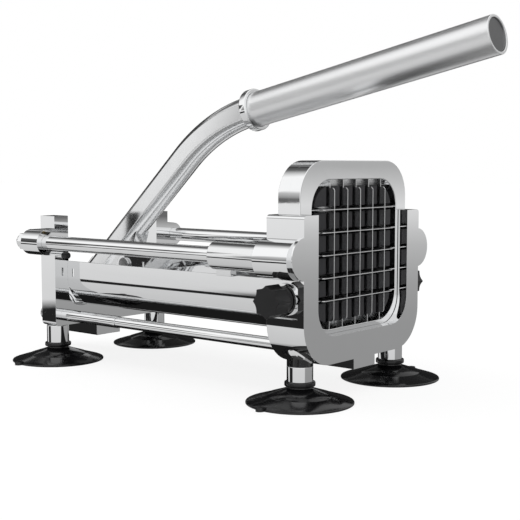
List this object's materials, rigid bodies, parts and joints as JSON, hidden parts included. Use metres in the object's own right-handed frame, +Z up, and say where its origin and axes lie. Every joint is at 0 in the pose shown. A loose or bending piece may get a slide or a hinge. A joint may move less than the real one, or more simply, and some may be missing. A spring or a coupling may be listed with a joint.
{
  "type": "french fry cutter",
  "caption": "Lever-operated french fry cutter: a lever and link straps slide a slotted pusher on guide rods through a removable blade grid, on suction feet.",
  "frame": {"origin": "centre of the overall box in X and Y, on the table under the feet", "axes": "+X forward, the way the fries come out and the grip points; +Y to the left seen along +X, across the machine; +Z up"},
  "size_m": [0.3594, 0.1578, 0.2095],
  "materials": {
    "polished_metal": "polished",
    "sheet_steel": "polished sheet",
    "chrome_rod": "polished",
    "satin_tube": "satin",
    "zinc_steel": "plain",
    "blade_steel": "ground",
    "cast_metal": "satin",
    "brass_bush": "plain",
    "dark_plastic": "satin",
    "black_rubber": "matte"
  },
  "bodies": {
    "base": {"front_frame": "polished_metal", "rear_frame": "polished_metal", "pivot_bracket": "polished_metal", "bracket_screws": "zinc_steel", "trough": "sheet_steel", "trough_screws": "zinc_steel", "guide_rod_near": "chrome_rod", "guide_rod_far": "chrome_rod", "guide_rod_washers": "zinc_steel", "guide_rod_nuts": "chrome_rod", "tie_rod_near": "chrome_rod", "tie_rod_far": "chrome_rod", "tie_rod_ferrules": "chrome_rod", "tie_rod_nuts": "zinc_steel", "bump_stop_pins": "chrome_rod", "bump_stop_tips": "black_rubber", "cartridge_front": "polished_metal", "cartridge_rear": "polished_metal", "vertical_blades": "blade_steel", "horizontal_blades": "blade_steel", "cartridge_screws": "zinc_steel", "pivot_pin": "zinc_steel", "pivot_ring": "zinc_steel", "foot_posts_front": "chrome_rod", "foot_posts_rear": "chrome_rod", "cup_front_near": "black_rubber", "cup_front_far": "black_rubber", "cup_rear_near": "black_rubber", "cup_rear_far": "black_rubber"},
    "carriage": {"carriage": "cast_metal", "sleeve_bushes": "brass_bush", "pusher_block": "dark_plastic", "pusher_studs": "zinc_steel", "pusher_nuts": "zinc_steel", "carriage_pin": "zinc_steel"},
    "lever": {"lever_arm": "chrome_rod", "grip_collar": "chrome_rod", "grip_tube": "satin_tube", "grip_end_cap": "satin_tube", "link_pin": "zinc_steel", "link_pin_ring": "zinc_steel"},
    "link": {"link_strap_near": "sheet_steel", "link_strap_far": "sheet_steel", "link_front_pins": "zinc_steel"},
    "near_pad": {"clamp_pad_near": "zinc_steel"},
    "near_knob": {"clamp_knob_near": "dark_plastic", "clamp_screw_near": "zinc_steel"},
    "far_pad": {"clamp_pad_far": "zinc_steel"},
    "far_knob": {"clamp_knob_far": "dark_plastic", "clamp_screw_far": "zinc_steel"}
  },
  "joints": [
    {"name": "lever_swing", "type": "hinge", "parent": "base", "child": "lever", "pos_m": [-0.16566, 0, 0.0262], "axis": [0, -1, 0], "range_deg": [0, 123]},
    {"name": "carriage_slide", "type": "slide", "parent": "base", "child": "carriage", "axis": [-1, 0, 0], "range_m": [0, 0.1399]},
    {"name": "link_swing", "type": "hinge", "parent": "lever", "child": "link", "pos_m": [-0.09563, 0, 0.06405], "axis": [0, -1, 0], "range_deg": [-123.2, 0]},
    {"name": "near_clamp_slide", "type": "slide", "parent": "base", "child": "near_pad", "axis": [0, -1, 0], "range_m": [0, 0.00125]},
    {"name": "near_knob_turn", "type": "hinge", "parent": "near_pad", "child": "near_knob", "pos_m": [0.08189, -0.0665, 0.0586], "axis": [0, -1, 0], "range_deg": [0, 360.1]},
    {"name": "far_clamp_slide", "type": "slide", "parent": "base", "child": "far_pad", "axis": [0, 1, 0], "range_m": [0, 0.00125]},
    {"name": "far_knob_turn", "type": "hinge", "parent": "far_pad", "child": "far_knob", "pos_m": [0.08189, 0.0665, 0.0586], "axis": [0, 1, 0], "range_deg": [0, 360.1]}
  ],
  "couplings": [
    {"joint": "carriage_slide", "follows": "lever_swing", "m_per_rad": 0.065151},
    {"joint": "link_swing", "follows": "lever_swing", "ratio": -1.0008},
    {"joint": "near_knob_turn", "follows": "near_clamp_slide", "rad_per_m": 5026.5},
    {"joint": "far_knob_turn", "follows": "far_clamp_slide", "rad_per_m": 5026.5}
  ]
}
